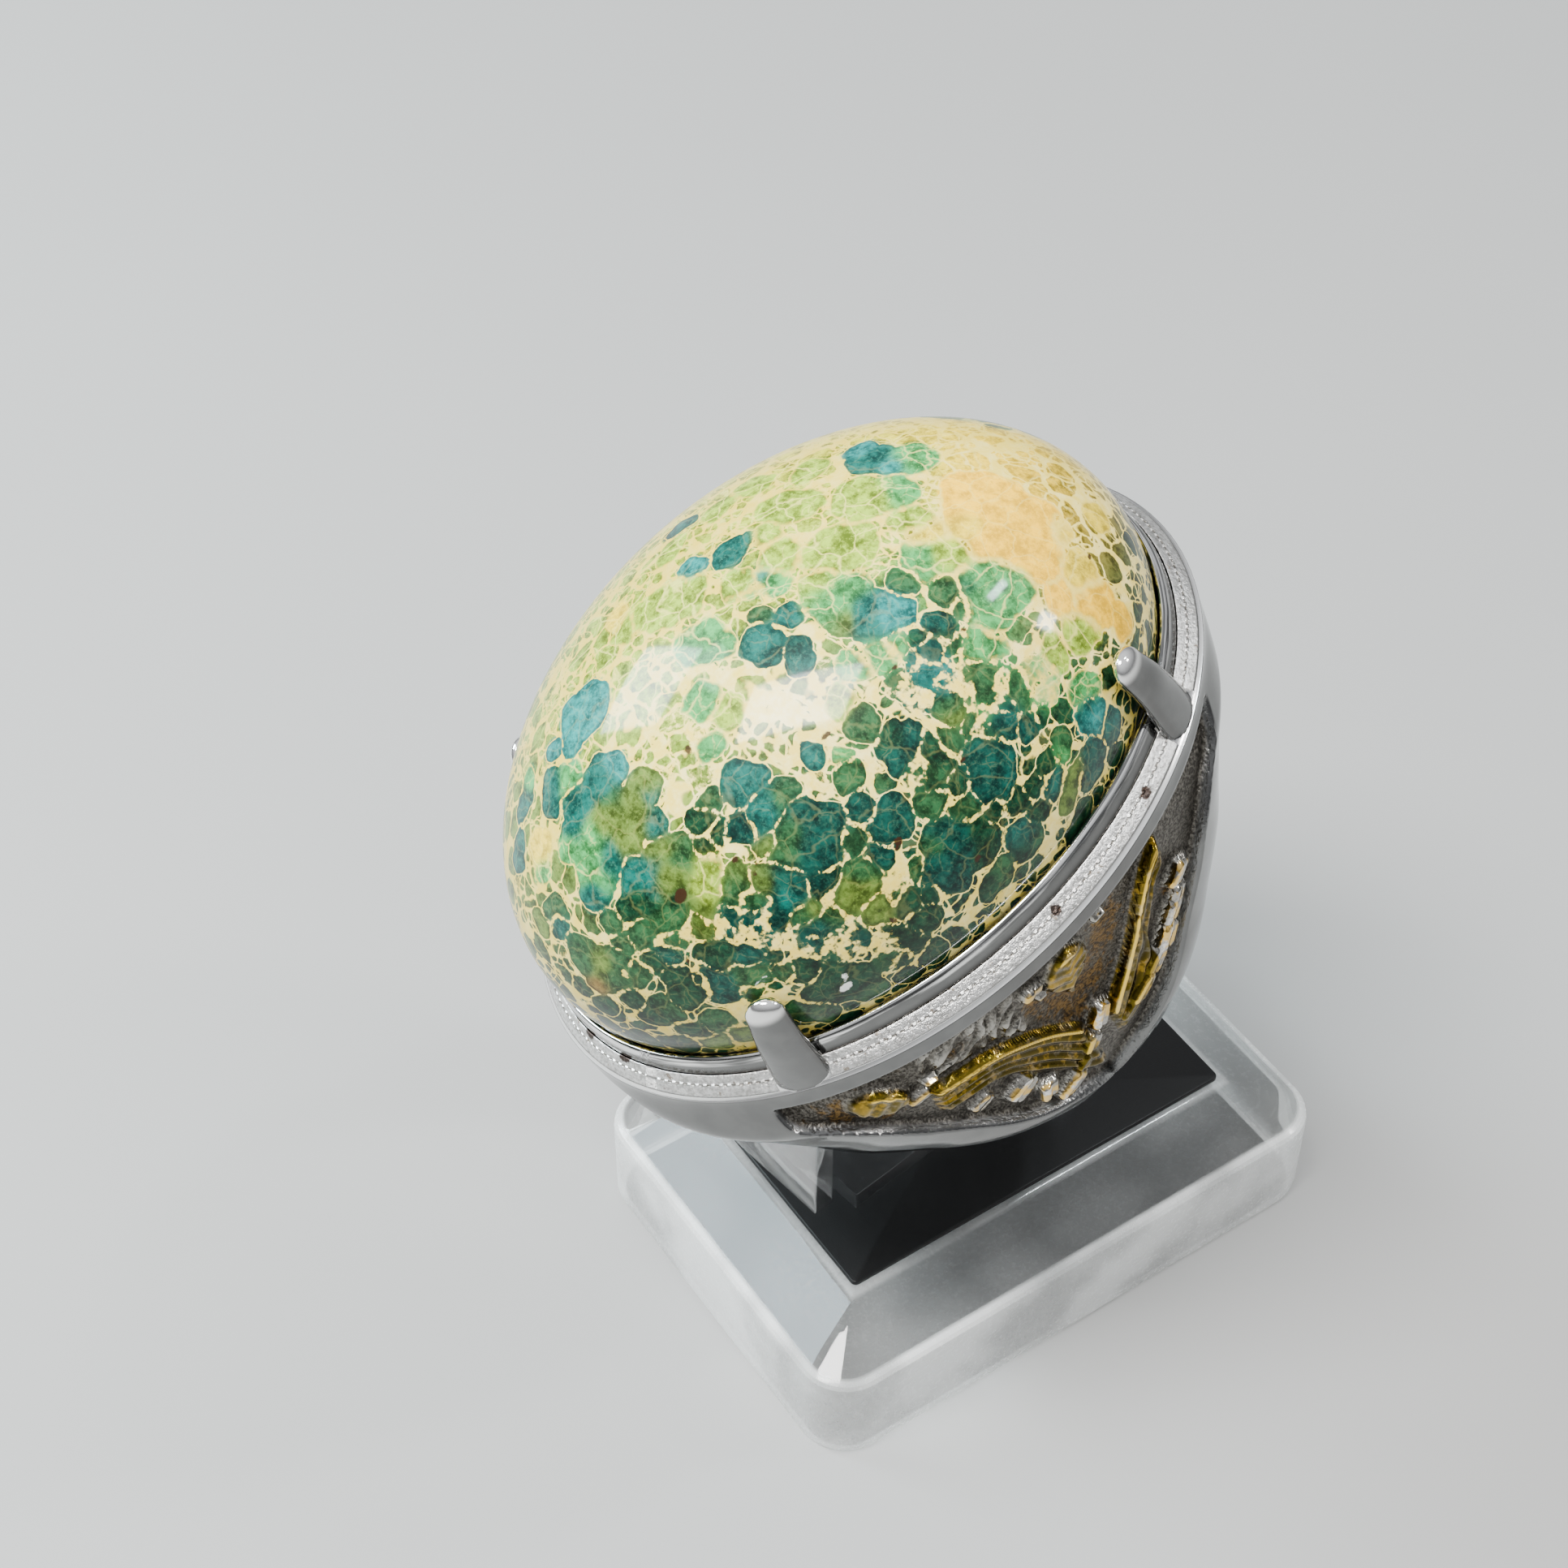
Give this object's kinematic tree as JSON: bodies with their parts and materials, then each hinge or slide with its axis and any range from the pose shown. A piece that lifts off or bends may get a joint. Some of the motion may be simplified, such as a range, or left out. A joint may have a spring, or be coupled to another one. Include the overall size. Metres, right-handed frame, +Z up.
{
  "type": "gemstone ring on display stand",
  "caption": "Large oval cabochon ring with claws, a stepped collar and winged cast shoulders, hanging on the clear loop of a bevelled display block with a dark pad.",
  "frame": {"origin": "middle of the stand's underside, on the surface it rests on", "axes": "+Z up, +X along the base's long side towards the closed side of the clip's loop, +Y across the base, away from the side the picture was taken from"},
  "size_m": [0.039, 0.0279, 0.0494],
  "materials": {
    "ring_metal": "polished and granular silver with gilded, slightly tarnished relief",
    "stone": "high polish, cream veins round teal, green and amber cells",
    "clear_acrylic": "clear, polished, soft bevels",
    "dark_pad": "black, slightly glossy",
    "clear_strip": "clear, polished"
  },
  "bodies": {
    "root": {"ring_body": "ring_metal", "stone": "stone", "stand_base": "clear_acrylic", "stand_pad": "dark_pad", "ring_clip": "clear_strip"}
  },
  "joints": []
}
